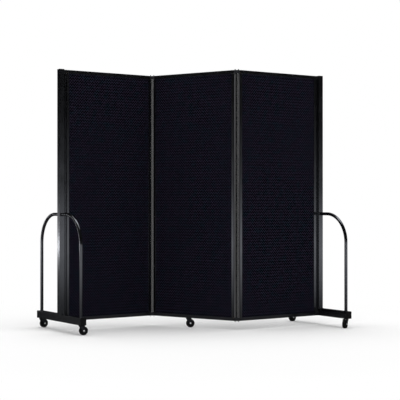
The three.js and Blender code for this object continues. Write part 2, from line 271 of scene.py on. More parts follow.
area_lamp("soft box", (0, 0, box_height), box_width, box_depth, box_power)
strip = area_lamp("low strip light", strip_place, strip_width, strip_height, strip_power)
strip.rotation_euler = (strip_target - strip_place).to_track_quat("-Z", "Y").to_euler()
print("soft box", box_width, "by", box_depth, "m at", box_height, "m, and a low strip light")

# %% [markdown]
# ## Black powder coat
# The rails, posts, hoops and bars are sprayed with black powder and baked to a hard, fairly shiny
# skin. A flat black would do from far away, or a separate clear coat could carry the shine. One
# shader with a bright skin is enough here, because the body under it is almost black. Powder is
# never quite even, so it gets a fine orange-peel relief and a sheen that drifts a little, which
# breaks up the long reflections. On the folds a duller grey on the knuckles and the rib is a painted
# highlight, and a matt near-black with almost no shine is painted shade.

# %% Paint
peel_per_metre, peel_depth, drift_per_metre, drift_detail = 420.0, 0.03 * MM, 9.0, 4.0
coat_index, cool_shine = 1.8, (0.86, 0.9, 1.0)


def painted(name, colour, smoothest, roughest, specular):
    material, tree, shader = finish_material(name, colour, smoothest, specular=specular)
    shader.inputs["IOR"].default_value = coat_index
    shader.inputs["Specular Tint"].default_value = (*cool_shine, 1)
    point = object_point(tree)
    sheen = varied(tree, point, drift_per_metre, smoothest, roughest, drift_detail)
    tree.links.new(sheen, shader.inputs["Roughness"])
    bump(tree, shader, noise(tree, point, peel_per_metre), peel_depth)
    return material


frame_paint = painted("black frame coat", (0.003, 0.003, 0.0034), 0.12, 0.18, specular=0.8)
hinge_paint = painted("black hinge enamel", (0.006, 0.006, 0.0065), 0.2, 0.3, specular=0.55)
# Painted shade: a matt near-black for the fold's spine and its shaded knuckle faces.
fold_painted_shade = painted("matt black hinge strip, painted shade", (0.003, 0.003, 0.003), 0.6, 0.8, specular=0.05)
# Painted highlight: a grey for the rib down the fold's spine.
rib_painted_highlight = painted("grey hinge rib, painted highlight", (0.13, 0.13, 0.133), 0.5, 0.7, specular=0.05)
# Painted highlight: a grey for the knuckle faces on the side of a fold that catches the light.
knuckle_painted_highlight = painted("grey knuckle, painted highlight", (0.12, 0.12, 0.123), 0.5, 0.7, specular=0.1)
print("paint ready")

# %% [markdown]
# ## Woven cloth
# The covers are a coarse woven cloth in near-black navy, with small dark pits in staggered rows
# and a tint that drifts between plum and teal. A picture of cloth could be wrapped over it, but it
# would repeat, and this script uses none. So the weave is worked out from the position: each thread
# is a rounded ridge that goes over and under by a chequerboard of crossings, and the pits are the
# low places of two long waves. The cloth is matt, because any even shine would drown dark colours.

# %% Cloth
thread_pitch, thread_depth = 2.5 * MM, 0.2 * MM
pit_width, pit_height, pit_depth = 16.5 * MM, 17.4 * MM, 2.4 * MM
pit_share, streak_share, top_level, pit_level, groove_light = 1.6, 0.38, -1.3, 0.5, 0.5
lumps_per_metre, unevenness, tints_per_metre, plum_lead, teal_lead = 100.0, 0.5, 30.0, -0.7, 1.1
plum, teal, shade = (0.033, 0.027, 0.050), (0.020, 0.030, 0.049), (0.0, 0.0, 0.0)


def blend_colours(tree, share, first, second):
    node = tree.nodes.new("ShaderNodeMix")
    node.data_type = "RGBA"
    sockets = [socket for socket in node.inputs if socket.type == "RGBA"]
    feed(tree, share, node.inputs["Factor"])
    for value, socket in zip((first, second), sockets):
        feed(tree, (*value, 1) if isinstance(value, tuple) else value, socket)
    return next(socket for socket in node.outputs if socket.type == "RGBA")


def wave(tree, value, pitch):
    """A wave from -1 to 1 that is at its top on every whole pitch."""
    return formula(tree, "COSINE", formula(tree, "MULTIPLY", value, 2 * math.pi / pitch))


def ridges(tree, value, pitch):
    """Rounded ridges, one in each pitch, from 0 in the grooves to 1 on the tops."""
    sine = formula(tree, "SINE", formula(tree, "MULTIPLY", value, math.pi / pitch))
    return formula(tree, "ABSOLUTE", sine)


def lift(tree, along, beside, start):
    """How high a thread rides: over one crossing thread and under the next."""
    step = formula(tree, "FLOOR", formula(tree, "DIVIDE", beside, thread_pitch))
    turns = formula(tree, "ADD", formula(tree, "DIVIDE", along, thread_pitch), step)
    sine = formula(tree, "SINE", formula(tree, "MULTIPLY_ADD", turns, math.pi, start))
    return formula(tree, "MULTIPLY_ADD", sine, 0.5, 0.5)


print(f"threads {thread_pitch * 1000:.1f} mm apart, pits {pit_width * 1000:.1f} mm apart")

# %% [markdown]
# ## The cloth put together
# The threads and pits drive both the relief and the colour: grooves and pits are black, as they are
# where no light reaches, and the thread tops carry the tint. Real holes would need millions of
# faces, and from where the screen is seen the relief looks the same.

# %% Cloth material
cloth_roughness, sheen_weight, sheen_roughness, tint_detail = 0.9, 0.005, 0.4, 3.0


def thread(tree, beside, along, start):
    """One set of threads: a ridge that rides over and under the other set."""
    riding = lift(tree, along, beside, start)
    return formula(tree, "MULTIPLY", ridges(tree, beside, thread_pitch), riding)


def cloth():
    material, tree, shader = finish_material("navy woven cloth", plum, cloth_roughness, specular=0.0)
    shader.inputs["Sheen Weight"].default_value = sheen_weight
    shader.inputs["Sheen Roughness"].default_value = sheen_roughness
    point = object_point(tree)
    axes = axes_of(tree, point)
    across, up = axes["X"], axes["Z"]
    warp, weft = thread(tree, across, up, 0.0), thread(tree, up, across, math.pi)
    weave = formula(tree, "MAXIMUM", warp, weft)

    chequer = formula(tree, "MULTIPLY", wave(tree, across, pit_width), wave(tree, up, pit_height))
    streaks = wave(tree, formula(tree, "ADD", up, pit_height / 4), pit_height)
    weighted = formula(tree, "MULTIPLY", streaks, streak_share)
    sum_of_waves = formula(tree, "ADD", formula(tree, "MULTIPLY", chequer, pit_share), weighted)
    uneven = varied(tree, point, lumps_per_metre, -unevenness, unevenness)
    pits = spread(tree, formula(tree, "ADD", sum_of_waves, uneven), 1.0, 0.0, top_level, pit_level)

    height = formula(tree, "MULTIPLY_ADD", pits, pit_depth / thread_depth, weave)
    bump(tree, shader, height, thread_depth)
    tint = varied(tree, point, tints_per_metre, plum_lead, teal_lead, tint_detail)
    depth = formula(tree, "MULTIPLY", spread(tree, weave, groove_light, 1.0), pits)
    colour = blend_colours(tree, depth, shade, blend_colours(tree, tint, plum, teal))
    tree.links.new(colour, shader.inputs["Base Color"])
    return material


cover_cloth = cloth()
print("cloth ready")

# %% [markdown]
# ## The small materials
# Caps and plugs are moulded plastic with a fine grain, the wheels have a hard rubber tread, the
# axles are plated with bright zinc and the boards inside the panels are fibreboard. Each could be
# its own shader tree. They differ only in colour, shine and the size of their grain, so one maker
# with those sizes serves all four.

# %% Plastic, rubber, zinc and board
patches_in_grain, smoother_share, rougher_share = 8, 0.85, 1.2


def grained(name, colour, roughness, per_metre, depth, specular=0.3, metallic=0.0):
    material, tree, shader = finish_material(name, colour, roughness, metallic, specular)
    point = object_point(tree)
    smoothest, roughest = roughness * smoother_share, roughness * rougher_share
    uneven = varied(tree, point, per_metre / patches_in_grain, smoothest, roughest)
    tree.links.new(uneven, shader.inputs["Roughness"])
    bump(tree, shader, noise(tree, point, per_metre), depth)
    return material


plastic = grained("moulded black plastic", (0.006, 0.006, 0.0065), 0.4, 1600.0, 0.03 * MM)
rubber = grained("hard black rubber", (0.006, 0.006, 0.0065), 0.6, 900.0, 0.05 * MM, specular=0.2)
zinc = grained("zinc plating", (0.9, 0.9, 0.92), 0.3, 700.0, 0.01 * MM, metallic=0.4)
# Fibreboard brown, darkened as painted shade where its edge shows in the hairline above the stiles.
board = grained("fibreboard, darkened as painted shade", (0.14, 0.10, 0.065), 0.85, 500.0, 0.1 * MM)
print("small materials ready")

# %% [markdown]
# ## Finding the assemblies
# The screen stands in a zigzag, so no panel lies along the room's axes. The pieces could be built in
# room axes with a lot of trigonometry. It is easier to give each panel, fold, end frame and caster
# its own axes, taken from its joints: X runs along it, Z points up and the origin is on the floor.
# A plain solid measured along those axes gives the exact size of the piece that replaces it.

# %% Places and sizes
def joint_point(name):
    return Vector(joint_of[name]["pos_m"])


def place(origin, along):
    x = Vector((along.x, along.y, 0)).normalized()
    turn = Matrix((x, (-x.y, x.x, 0), (0, 0, 1))).transposed()
    return Matrix.Translation((origin.x, origin.y, 0)) @ turn.to_4x4()


def extent(node, where):
    """Lowest and highest corner of a node, measured along the axes of its assembly."""
    back = where.inverted()
    points = [back @ vertex.co for vertex in frame["nodes"][node].data.vertices]
    return Vector(map(min, zip(*points))), Vector(map(max, zip(*points)))


panel_joints = {
    "left": ("left_end_hinge", "left_fold_outer"),
    "middle": ("left_fold_inner", "right_fold_inner"),
    "right": ("right_fold_outer", "right_end_hinge"),
}
panel_place, pin_span = {}, 0.0
for side, names in panel_joints.items():
    first, last = map(joint_point, names)
    panel_place[side] = place((first + last) / 2, last - first)
    pin_span = (last - first).length
print("panels:", ", ".join(panel_place), f"with {pin_span * 1000:.0f} mm between pins")

# %% [markdown]
# ## Outlines
# Rails, posts, bars and plates are all cut from stock with one cross-section. Those sections could
# be drawn as curves, but plain lists of points are easy to check and to measure. These helpers make
# arcs, circles and outlines with rounded corners, because every real section has small radii and
# they are what catches the light.

# %% Outlines
def arc(centre, radius, start, end, steps=12):
    turns = [start + (end - start) * i / steps for i in range(steps + 1)]
    return [(centre[0] + radius * math.cos(t), centre[1] + radius * math.sin(t)) for t in turns]


def circle(radius, steps=32):
    return arc((0, 0), radius, 0, 2 * math.pi * (steps - 1) / steps, steps - 1)


def quarter_turn(steps):
    """Angles from 0 to a right angle, both ends included."""
    return [math.pi / 2 * i / steps for i in range(steps + 1)]


def full_turn(steps):
    """Angles all the way round, without the last one, which is the first again."""
    return [2 * math.pi * i / steps for i in range(steps)]


def rounded(corners, radius, steps=4):
    """An outline with rounded corners. A corner may bring its own radius as a third number."""
    outline = []
    for i, corner in enumerate(corners):
        here, size = Vector(corner[:2]), corner[2] if len(corner) > 2 else radius
        if size == 0:
            outline.append(tuple(here))
            continue
        before = (Vector(corners[i - 1][:2]) - here).normalized()
        after = (Vector(corners[(i + 1) % len(corners)][:2]) - here).normalized()
        half = before.angle(after) / 2
        centre = here + (before + after).normalized() * (size / math.sin(half))
        first = here + before * (size / math.tan(half)) - centre
        way = -1 if before.cross(after) > 0 else 1
        for step in range(steps + 1):
            turn = way * (math.pi - 2 * half) * step / steps
            outline.append(tuple(centre + Matrix.Rotation(turn, 2) @ first))
    return outline


def rectangle(x0, x1, y0, y1, radius, steps=4):
    return rounded([(x0, y0), (x1, y0), (x1, y1), (x0, y1)], radius, steps)


print("a rounded square has", len(rectangle(0, 1, 0, 1, 0.1)), "points")

# %% [markdown]
# ## Drawn-out shapes
# An extrusion or a sawn tube is its section drawn out to a length, with the saw's edge filed off. A
# scaled cube with a bevel modifier would give only boxes. Here any outline, with holes where the
# section is hollow, is lifted in a few rings, and the first and last rings step inwards along a
# quarter circle, which makes the eased edge.

# %% Meshes from rings of points
def bridge(build, rings, sides, closed=False):
    """Faces between neighbouring rings, where a ring may also be a single point."""
    pairs = list(zip(rings, rings[1:])) + ([(rings[-1], rings[0])] if closed else [])
    for one, other in pairs:
        for k in range(sides):
            corners = [one[(k - 1) % len(one)], one[k % len(one)]]
            corners += [other[k % len(other)], other[(k - 1) % len(other)]]
            build.faces.new(list(dict.fromkeys(corners)))


def finished(name, build, sharp_degrees=40):
    """Make a mesh of what was built, smooth apart from its sharp edges."""
    bmesh.ops.recalc_face_normals(build, faces=build.faces)
    mesh = bpy.data.meshes.new(name)
    build.to_mesh(mesh)
    build.free()
    mesh.shade_smooth()
    mesh.set_sharp_from_angle(angle=math.radians(sharp_degrees))
    return mesh


def merged(name, *meshes):
    build = bmesh.new()
    for mesh in meshes:
        build.from_mesh(mesh)
        bpy.data.meshes.remove(mesh)
    return finished(name, build)


print("ring, finish and merge helpers ready")

# %% Drawn-out shapes
least_cosine = 0.5


def area(outline):
    pairs = zip(outline, outline[1:] + outline[:1])
    return sum(a[0] * b[1] - b[0] * a[1] for a, b in pairs) / 2


def moved_in(outline, inset):
    """The outline moved by inset towards the material, which lies on its left."""
    moved = []
    for i, (x, y) in enumerate(outline):
        back = Vector((x, y)) - Vector(outline[i - 1])
        ahead = Vector(outline[(i + 1) % len(outline)]) - Vector((x, y))
        left = [Vector((-v.y, v.x)).normalized() for v in (back, ahead)]
        middle = (left[0] + left[1]).normalized()
        step = inset / max(middle.dot(left[0]), least_cosine)
        moved.append(tuple(Vector((x, y)) + middle * step))
    return moved


def drawn_out(name, outlines, low, high, edge=0.0, edge_steps=3):
    """A solid with this cross-section from z = low to high. Outlines after the first are holes."""
    turns = quarter_turn(edge_steps) if edge else [math.pi / 2]
    levels = [(edge * (1 - math.sin(t)), low + edge * (1 - math.cos(t))) for t in turns]
    levels += [(inset, low + high - z) for inset, z in reversed(levels)]
    build = bmesh.new()
    caps = [[], []]
    for number, outline in enumerate(outlines):
        if (area(outline) > 0) == (number > 0):
            outline = outline[::-1]
        rings = []
        for inset, z in levels:
            rings.append([build.verts.new((*p, z)) for p in moved_in(outline, inset)])
        bridge(build, rings, len(outline))
        for cap, ring in zip(caps, (rings[0], rings[-1])):
            cap += [build.edges.get((ring[i - 1], ring[i])) for i in range(len(ring))]
    for cap in caps:
        bmesh.ops.triangle_fill(build, use_beauty=True, edges=cap)
    return finished(name, build)


sample_tube = drawn_out("sample", [rectangle(-2, 2, -2, 2, 1), rectangle(-1, 1, -1, 1, 0)], 0, 1)
print("a square tube has", len(sample_tube.polygons), "faces")
bpy.data.meshes.remove(sample_tube)

# %% [markdown]
# ## Swept and turned shapes
# The hoops are bent tube and the weld beads are ropes of metal, so both are a ring of points that is
# carried along a path. A curve with a bevel would do it too, but a mesh lets the bead's thickness
# ripple. Pins, bolts and wheels are made on a lathe, and here a profile of radius and height is
# turned round the axis in the same way.

# %% Swept shapes
def swept(name, path, across, radius, sides, closed=False, ripple=0.0, ripple_pitch=1.0):
    """A tube along a flat path, where across is the direction square to the path's plane."""
    build = bmesh.new()
    points, across, rings, travelled = [Vector(p) for p in path], Vector(across), [], 0.0
    for i, point in enumerate(points):
        before = points[i - 1] if i or closed else point
        after = points[(i + 1) % len(points)] if i + 1 < len(points) or closed else point
        out = (after - before).normalized().cross(across)
        travelled += (point - points[i - 1]).length if i else 0.0
        size = radius * (1 + ripple * math.sin(2 * math.pi * travelled / ripple_pitch))
        offsets = [(out * math.cos(t) + across * math.sin(t)) * size for t in full_turn(sides)]
        rings.append([build.verts.new(point + offset) for offset in offsets])
    bridge(build, rings, sides, closed)
    if not closed:
        build.faces.new(rings[0])
        build.faces.new(rings[-1])
    return finished(name, build)


print("swept shapes ready")

# %% Turned shapes
def turned(name, profile, sides=48):
    """A closed body turned round Z from a profile of (radius, z) pairs."""
    build = bmesh.new()
    rings = []
    for radius, z in profile:
        spots = [(radius * math.cos(t), radius * math.sin(t), z) for t in full_turn(sides)]
        rings.append([build.verts.new(spot) for spot in (spots if radius else [(0, 0, z)])])
    bridge(build, rings, sides, closed=profile[0][0] > 0)
    return finished(name, build)


print("turned shapes ready")

# %% [markdown]
# ## Putting a piece in its place
# Each piece of the real screen is bolted, welded or hinged to something, and it moves with it. The
# pieces could be parented one by one at the end, but one that is forgotten stays behind when the
# screen folds. So a single call links the mesh, dresses it, evens out its shading and ties it to the
# body that it moves with.

# %% Putting a piece in its place
def add(name, mesh, where, body, material, replaced=(), even=True):
    """Link a mesh at a place, dress it and tie it to the body that it moves with."""
    piece = bpy.data.objects.new(name, mesh)
    scene.collection.objects.link(piece)
    piece.matrix_world = where
    if not mesh.materials:
        mesh.materials.append(material)
    if even:
        normals = piece.modifiers.new("even shading", "WEIGHTED_NORMAL")
        normals.keep_sharp = True
    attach(piece, body)
    if replaced:
        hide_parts(*replaced)
    return piece


ALONG_X = Matrix(((0, 0, 1), (1, 0, 0), (0, 1, 0))).to_4x4()
ALONG_Y = Matrix.Rotation(-math.pi / 2, 4, "X")

# %% [markdown]
# ## Rails
# The rails close a panel at the top and the bottom. Each is an aluminium extrusion: a channel whose
# lips hold the edges of the cloth. It could be a solid bar with a groove painted on, but the dark
# slot and the thin lips show from above and below, so the true section is drawn out.

# %% Rails
lip_wall, lip_depth = 1.5 * MM, 8.4 * MM
outer_round, lip_round, inner_round, cut_edge = 1.1 * MM, 0.5 * MM, 0.3 * MM, 0.25 * MM


def rail(side, node, where, opens_down):
    low, high = extent(node, where)
    wide, slot_half = high.y, high.y - lip_wall
    floor_of_slot = low.z + lip_depth
    section = [
        (wide, low.z, lip_round), (wide, high.z, outer_round),
        (-wide, high.z, outer_round), (-wide, low.z, lip_round),
        (-slot_half, low.z, lip_round), (-slot_half, floor_of_slot, inner_round),
        (slot_half, floor_of_slot, inner_round), (slot_half, low.z, lip_round),
    ]
    if not opens_down:
        section = [(y, low.z + high.z - z, size) for y, z, size in section]
    mesh = drawn_out(node, [rounded(section, outer_round)], low.x, high.x, cut_edge)
    mesh.transform(ALONG_X)
    return add(f"{node}_section", mesh, where, f"{side}_panel", frame_paint, [node])


for side, where in panel_place.items():
    rail(side, f"{side}_panel_top_rail", where, True)
    rail(side, f"{side}_panel_bottom_rail", where, False)
print("rails", f"{outer_round * 1000:.1f} mm corner radius")

# %% [markdown]
# ## Stiles
# The stiles are the upright edges. The same channel carries a round knuckle along its outer edge,
# bored for the pin, so the panel's own edge is half of the hinge. A separate tube could be set
# beside the channel, but the extrusion is one piece and shows a narrow neck between the two. On one
# side of a fold the knuckle's outer faces are painted grey as a painted highlight, and elsewhere
# they are matt black as painted shade, face by face.

# %% Stiles
knuckle_radius, pin_bore, neck_half, knuckle_steps = 4.7 * MM, 2.8 * MM, 3 * MM, 28
neck_end, stile_edge, highlight_rise = 5 * MM, 20 * MM, 3.7 * MM
stile_finishes = [frame_paint, fold_painted_shade, knuckle_painted_highlight]
# Which side of each fold's knuckle gets the grey painted highlight; the other side gets painted
# shade.
highlight_side = {
    ("left", "right"): 1, ("middle", "left"): 1,
    ("middle", "right"): -1, ("right", "left"): -1,
}


def stile(side, end, where):
    node = f"{side}_panel_{end}_stile"
    low, high = extent(node, where)
    inward = 1 if end == "left" else -1
    wide, slot_half = high.y, high.y - lip_wall
    lean = math.asin(neck_half / knuckle_radius)
    knuckle = arc((0, 0), knuckle_radius, lean, 2 * math.pi - lean, knuckle_steps)
    lower = [
        (neck_end, -neck_half, inner_round), (neck_end, -wide, outer_round),
        (stile_edge, -wide, lip_round), (stile_edge, -slot_half, lip_round),
        (stile_edge - lip_depth, -slot_half, inner_round),
    ]
    upper = [(x, -y, size) for x, y, size in reversed(lower)]
    section = rounded([(x, y, 0) for x, y in knuckle] + lower + upper, 0)
    pin_at = -pin_span / 2 * inward
    outlines = [[(pin_at + x * inward, y) for x, y in loop] for loop in (section, circle(pin_bore))]
    mesh = drawn_out(node, outlines, low.z, high.z, cut_edge)
    for finish in stile_finishes:
        mesh.materials.append(finish)
    # One side of each knuckle is painted grey as a painted highlight, and the rest matt black as
    # painted shade.
    highlight_way = highlight_side.get((side, end), 0)
    for face in mesh.polygons:
        off_pin = math.hypot(face.center.x - pin_at, face.center.y)
        if highlight_way and off_pin < knuckle_radius + inner_round:
            finish = knuckle_painted_highlight if face.center.y * highlight_way > highlight_rise else fold_painted_shade
            face.material_index = stile_finishes.index(finish)
    return add(f"{node}_section", mesh, where, f"{side}_panel", frame_paint, [node])


for side, where in panel_place.items():
    stile(side, "left", where)
    stile(side, "right", where)
print("stiles with a", f"{knuckle_radius * 2000:.1f} mm knuckle")

# %% [markdown]
# ## Covers
# The cloth is pulled tight over a thin pad and tucked into the channels. A simulation could stretch
# it, but a tight cover barely moves and would only cost time, and a flat sheet would look like
# board. So each cover is a fine grid with a slight crown, a soft roll where it dives under the lips,
# and faint pulls that fade away from the edges. It is closed behind, so that it has the thickness of
# cloth and pad, and the size of the flat piece that is cut for it is printed.

# %% Covers
columns, rows = 72, 168
crown, tuck, roll_width, side_bulge, end_bulge = 0.9 * MM, 0.9 * MM, 14 * MM, 0.5, 0.35
pull_depth, pull_pitch, pull_reach, beat_share = 0.12 * MM, 46 * MM, 4, 0.37


def cover_height(x, z, width, height, seed):
    """How far the cloth stands out here, from its tucked edge to its crown."""
    edge = min(width / 2 - abs(x), z, height - z)
    roll = 1 - math.exp(-max(edge - lip_depth, 0) / roll_width)
    swell = max(math.cos(math.pi * x / width), 0) ** side_bulge
    swell *= max(math.sin(math.pi * z / height), 0) ** end_bulge
    along = z if width / 2 - abs(x) < min(z, height - z) else x
    turn = math.pi * along / pull_pitch
    pull = math.sin(2 * turn + seed) * math.sin(beat_share * turn + 2 * seed)
    pull *= math.exp(-edge / (pull_reach * roll_width))
    return tuck * (roll - 1) + (crown * swell + pull_depth * pull) * roll


def cover(side, face, where, seed):
    node = f"{side}_panel_{face}_cover"
    low, high = extent(node, where)
    out = 1 if low.y + high.y > 0 else -1
    surface, back = (high.y, low.y) if out > 0 else (low.y, high.y)
    width, height, middle = high.x - low.x, high.z - low.z, (low.x + high.x) / 2
    build = bmesh.new()
    grid = {}
    for j in range(rows + 1):
        for i in range(columns + 1):
            x, z = width * (i / columns - 0.5), height * j / rows
            y = surface + out * cover_height(x, z, width, height, seed)
            for layer, depth in enumerate((y, back)):
                grid[layer, i, j] = build.verts.new((middle + x, depth, low.z + z))
    for layer in (0, 1):
        for j in range(rows):
            for i in range(columns):
                around = ((i, j), (i + 1, j), (i + 1, j + 1), (i, j + 1))
                build.faces.new([grid[layer, *corner] for corner in around])
    rim = [(i, 0) for i in range(columns)] + [(columns, j) for j in range(rows)]
    rim += [(columns - i, rows - j) for i, j in rim]
    for one, other in zip(rim, rim[1:] + rim[:1]):
        build.faces.new((grid[0, *one], grid[0, *other], grid[1, *other], grid[1, *one]))
    mesh = finished(node, build)
    body = f"{side}_panel"
    piece = add(f"{node}_cloth", mesh, where, body, cover_cloth, [node], even=False)
    return width, height


for number, (side, where) in enumerate(panel_place.items()):
    for turn, face in enumerate(("front", "rear")):
        flat = cover(side, face, where, number * 2 + turn)
print("six covers of", " by ".join(f"{size * 1000:.0f}" for size in flat), "mm")

# %% [markdown]
# ## Boards
# A board inside each panel keeps the two covers apart and makes it stiff. It is hidden, apart from a
# hairline above the stiles, so the plain solid stays as it is and only gets its material. Its brown
# is darker than raw fibreboard, as painted shade in that hairline.

# %% Boards
for side in panel_place:
    core = frame["nodes"][f"{side}_panel_core"]
    core.data.materials.clear()
    core.data.materials.append(board)
print("boards dressed")

# %% [markdown]
# ## Pins
# The panels turn on steel rods that are a little longer than they are, so the domed ends stick out
# at the top and the bottom. A cylinder would have flat ends that look sawn, so the rod is turned
# from a profile with a small dome at each end.

# %% Pins
pin_radius, pin_sides, dome_rise, dome_steps = 2.5 * MM, 24, 1.2 * MM, 6


def pin(node, where, body):
    low, high = extent(node, where)
    turns = quarter_turn(dome_steps)
    bottom = [(pin_radius * math.sin(t), low.z + dome_rise * (1 - math.cos(t))) for t in turns]
    top = [(radius, low.z + high.z - z) for radius, z in reversed(bottom)]
    mesh = turned(node, bottom + top, pin_sides)
    spot = where @ Matrix.Translation(((low.x + high.x) / 2, (low.y + high.y) / 2, 0))
    return add(f"{node}_rod", mesh, spot, body, hinge_paint, [node], even=False)


print(f"pins {pin_radius * 2000:.0f} mm thick")

# %% [markdown]
# ## Folds
# Two pins stand 20 mm apart, held by a block at the top and one at the bottom, so a panel can fold
# flat to either side. One pin would let it fold to one side only. A thin spine closes the slit
# between the two knuckles and is matt black as painted shade. A shallow rib pressed down its middle
# is painted grey on one face as a painted highlight, a grey line. The rib could be a painted stripe,
# but its edges give the line its depth when the fold is seen at a slant.

# %% Folds
block_edge, spine_edge = 0.8 * MM, 0.5 * MM
rib_half, rib_rise, rib_round = 2.3 * MM, 0.4 * MM, 0.15 * MM


def fold(side):
    body = f"{side}_link"
    first, last = joint_point(f"{side}_fold_outer"), joint_point(f"{side}_fold_inner")
    where = place((first + last) / 2, last - first)
    half = (last - first).length / 2
    for end in ("top", "bottom"):
        node = f"{side}_fold_{end}_block"
        low, high = extent(node, where)
        outline = arc((half, 0), high.y, -math.pi / 2, math.pi / 2)
        outline += arc((-half, 0), high.y, math.pi / 2, 1.5 * math.pi)
        holes = [[(x + shift, y) for x, y in circle(pin_bore)] for shift in (-half, half)]
        mesh = drawn_out(node, [outline, *holes], low.z, high.z, block_edge)
        add(f"{node}_body", mesh, where, body, hinge_paint, [node])
    node = f"{side}_fold_spine"
    low, high = extent(node, where)
    shelf = low.y + rib_rise
    outline = rounded([
        (low.x, shelf, spine_edge), (-rib_half, shelf), (-rib_half, low.y), (rib_half, low.y),
        (rib_half, shelf), (high.x, shelf, spine_edge),
        (high.x, high.y, spine_edge), (low.x, high.y, spine_edge),
    ], rib_round)
    mesh = drawn_out(node, [outline], low.z, high.z)
    # The spine's faces are matt near-black, as painted shade.
    mesh.materials.append(fold_painted_shade)
    mesh.materials.append(rib_painted_highlight)
    # The rib's faces on the -y side are painted grey, as a painted highlight.
    for face in mesh.polygons:
        face.material_index = int(face.normal.y < 0 and face.center.y < shelf - rib_round)
    add(f"{node}_strip", mesh, where, body, fold_painted_shade, [node])
    for which in ("outer", "inner"):
        pin(f"{side}_fold_{which}_pin", where, body)


for side in ("left", "right"):
    fold(side)
print("two folds")

# %% [markdown]
# ## Beads and lugs
# Each end frame is welded together from a post, a hoop and a bar, and short lugs on the post and the
# bar hold the last pin. Without its weld a joint looks like two shapes pushed into each other. The
# bead could be a texture, but it stands out from the surface, so it is a thin rope swept round the
# joint, with the ripple that a weld has.

# %% Weld beads
bead_radius, bead_pitch, bead_ripple = 1.5 * MM, 2.4 * MM, 0.12
bead_sides, cuts_per_ripple = 10, 6


def bead(name, path, across, where, body, closed=True):
    """A weld bead along a path, which is cut finely so that the ripples show."""
    points = [Vector(p) for p in path]
    ends = points[1:] + points[:1] if closed else points[1:]
    fine = []
    for one, other in zip(points, ends):
        count = max(1, round((other - one).length / (bead_pitch / cuts_per_ripple)))
        fine += [one.lerp(other, k / count) for k in range(count)]
    mesh = swept(name, fine, across, bead_radius, bead_sides, closed, bead_ripple, bead_pitch)
    return add(name, mesh, where, body, frame_paint, even=False)


def ring_path(centre, radius, first, second, steps=48):
    """Points of a circle that lies in the plane of the two directions."""
    centre, first, second = Vector(centre), Vector(first), Vector(second)
    turns = full_turn(steps)
    return [centre + (first * math.cos(t) + second * math.sin(t)) * radius for t in turns]


print(f"beads {bead_radius * 2000:.1f} mm wide")

# %% Lugs
lug_neck_half, lug_edge = 6.5 * MM, 0.8 * MM


def lug(name, where, body, eye_radius, reach, low_z, high_z):
    """An eye round the pin, with a neck that reaches the tube and is welded on both sides."""
    lean = math.asin(lug_neck_half / eye_radius)
    eye = arc((0, 0), eye_radius, lean, 2 * math.pi - lean, knuckle_steps)
    outline = eye + [(reach + cut_edge, -lug_neck_half), (reach + cut_edge, lug_neck_half)]
    mesh = drawn_out(name, [outline, circle(pin_bore)], low_z, high_z, lug_edge)
    add(name, mesh, where, body, frame_paint)
    for number, y in enumerate((-lug_neck_half, lug_neck_half)):
        path = [(reach, y, low_z + lug_edge), (reach, y, high_z - lug_edge)]
        bead(f"{name}_weld_{number}", path, (1, 0, 0), where, body, closed=False)


print(f"lugs with a {lug_neck_half * 2000:.0f} mm neck")

# %% [markdown]
# ## Posts
# A square tube stands at each end of the screen and swings on the last pin. A solid block would
# look the same while its cap is on, but with its wall the piece is also right when it is seen
# alone. A thin strip closes the slit beside the pin. The cap is two plates, one on the other,
# since a single bevelled block would lack the raised field that such caps have.

# %% Caps
post_round, cap_edge, cap_step, cap_rise = 1.8 * MM, 0.9 * MM, 4.5 * MM, 0.7 * MM


def capped(node, where, half_x, half_y, thickness, body):
    """A moulded cap: a plate with eased edges and a slightly raised field."""
    plate = rectangle(-half_x, half_x, -half_y, half_y, post_round)
    inner_x, inner_y = half_x - cap_step, half_y - cap_step
    field = rectangle(-inner_x, inner_x, -inner_y, inner_y, post_round)
    lower = drawn_out(node, [plate], 0, thickness - cap_rise, cap_edge)
    upper = drawn_out(node, [field], 0, thickness, cap_rise / 2)
    mesh = merged(node, lower, upper)
    mesh.transform(where)
    add(f"{node}_moulding", mesh, Matrix.Identity(4), body, plastic, [node])


print(f"caps with a field raised by {cap_rise * 1000:.1f} mm")

# %% Posts
post_wall, tube_round, strip_half, foot_steps = 2 * MM, 0.6 * MM, 1.25 * MM, 8


def post(side, where, body):
    node = f"{side}_post"
    low, high = extent(node, where)
    wide = high.y
    centre = high.x - wide
    near, inner = centre - wide, wide - post_wall
    outlines = [
        rectangle(near, high.x, -wide, wide, post_round),
        rectangle(centre - inner, centre + inner, -inner, inner, tube_round),
    ]
    tube = drawn_out(node, outlines, low.z, high.z, cut_edge)
    add(f"{node}_tube", tube, where, body, frame_paint, [node])

    lug_low = high.z - lug_height
    lug(f"{node}_lug", where, body, -low.x, near, lug_low, high.z)
    ends = (knuckle_radius + cut_edge, near + cut_edge)
    outline = rectangle(*ends, -strip_half, strip_half, inner_round)
    mesh = drawn_out(node, [outline], low.z, lug_low)
    add(f"{node}_strip", mesh, where, body, frame_paint)

    foot = rectangle(near, high.x, -wide, wide, post_round, foot_steps)
    bead(f"{node}_weld", [(x, y, low.z) for x, y in foot], (0, 0, 1), where, body)
    cap_top = extent(f"{side}_post_cap", where)[1].z
    seat = where @ Matrix.Translation((centre, 0, high.z))
    capped(f"{side}_post_cap", seat, wide, wide, cap_top - high.z, body)
    return centre, wide


def end_place(side):
    pin_at = joint_point(f"{side}_end_hinge")
    return place(pin_at, pin_at - joint_point(f"{side}_fold_outer"))


block_low, block_high = extent("left_fold_top_block", end_place("left"))
lug_height = block_high.z - block_low.z
for side in ("left", "right"):
    where, body = end_place(side), f"{side}_end_frame"
    pin(f"{side}_end_pin", where, body)
    post_centre, post_half = post(side, where, body)
print(f"posts {post_half * 2000:.0f} mm square")

